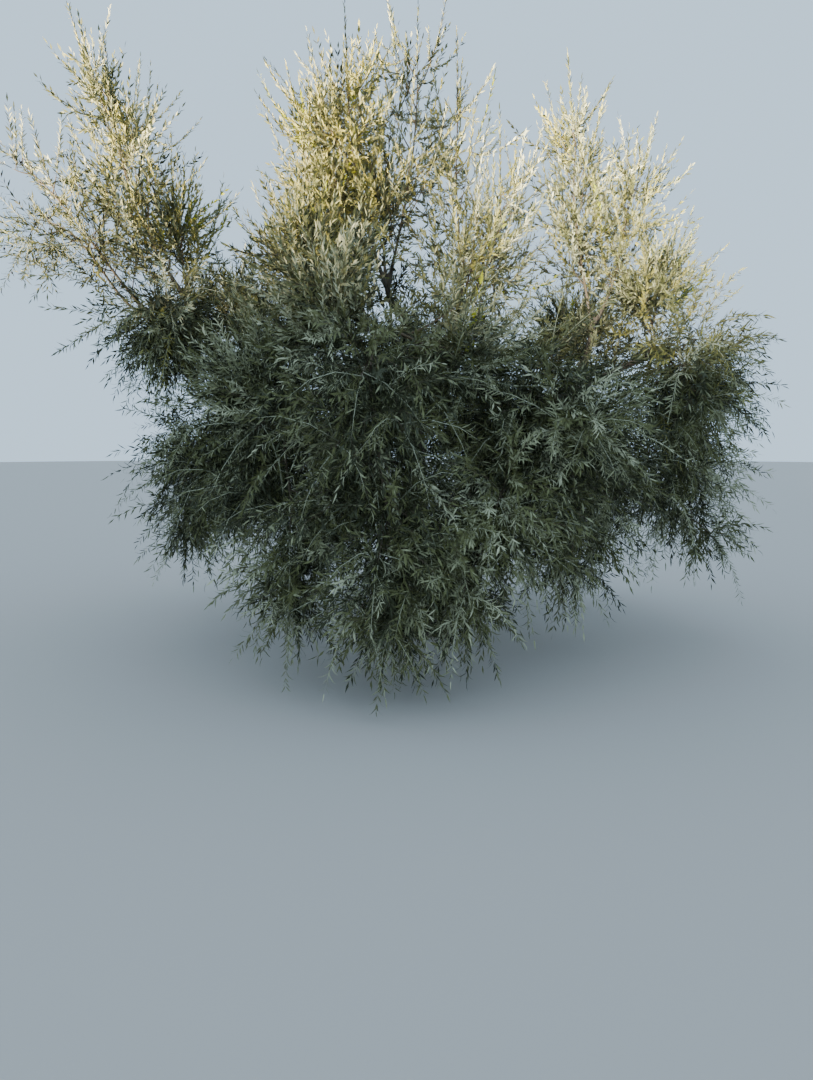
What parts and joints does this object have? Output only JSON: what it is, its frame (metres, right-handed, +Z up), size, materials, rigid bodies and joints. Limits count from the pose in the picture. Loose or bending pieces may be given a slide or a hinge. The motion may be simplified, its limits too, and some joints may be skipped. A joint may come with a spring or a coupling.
{
  "type": "olive tree",
  "caption": "Broad many-stemmed crown of an old olive tree on a short fluted trunk, with upright plumes on top and a weeping skirt.",
  "frame": {"origin": "middle of the flat cut under the trunk, at ground level", "axes": "+Z up, +X to the right of someone who faces the side in the picture, +Y away from them"},
  "size_m": [6.2256, 4.8242, 4.8219],
  "materials": {
    "bark": "rough fissured grey-brown bark",
    "sunlit_leaves": "satin, silvery yellow-green",
    "shaded_leaves": "satin, grey-green"
  },
  "bodies": {
    "root": {"back_dome": "sunlit_leaves", "back_high_spire": "sunlit_leaves", "back_left_bough": "bark", "back_left_curtain": "shaded_leaves", "back_left_spire": "sunlit_leaves", "back_limb": "bark", "back_right_bough": "bark", "back_right_curtain": "shaded_leaves", "back_right_spire": "sunlit_leaves", "centre_left_bough": "bark", "centre_left_spire": "sunlit_leaves", "centre_limb": "bark", "centre_right_bough": "bark", "centre_right_spire": "sunlit_leaves", "centre_spire": "sunlit_leaves", "centre_top_bough": "bark", "far_left_arch": "sunlit_leaves", "far_left_cluster": "shaded_leaves", "front_curtain": "shaded_leaves", "front_dome": "sunlit_leaves", "front_left_bough": "bark", "front_left_curtain": "shaded_leaves", "front_left_dome": "sunlit_leaves", "front_limb": "bark", "front_right_arch": "shaded_leaves", "front_right_bough": "bark", "front_right_curtain": "shaded_leaves", "front_right_dome": "sunlit_leaves", "front_shoulder": "sunlit_leaves", "front_top_bough": "bark", "high_spire": "sunlit_leaves", "left_back_bough": "bark", "left_back_dome": "sunlit_leaves", "left_back_skirt": "shaded_leaves", "left_dome": "shaded_leaves", "left_front_skirt": "shaded_leaves", "left_inner_spire": "sunlit_leaves", "left_limb": "bark", "left_lower_bough": "bark", "left_outer_bough": "bark", "left_shoulder": "sunlit_leaves", "left_skirt": "shaded_leaves", "left_spire": "sunlit_leaves", "left_upper_bough": "bark", "right_back_bough": "bark", "right_back_dome": "sunlit_leaves", "right_back_skirt": "shaded_leaves", "right_dome": "shaded_leaves", "right_front_skirt": "shaded_leaves", "right_high_shoulder": "sunlit_leaves", "right_limb": "bark", "right_lower_bough": "bark", "right_outer_bough": "bark", "right_outer_weep": "shaded_leaves", "right_shoulder": "sunlit_leaves", "right_skirt": "shaded_leaves", "right_spire": "sunlit_leaves", "right_twin_spire": "sunlit_leaves", "right_upper_bough": "bark", "trunk": "bark"}
  },
  "joints": []
}
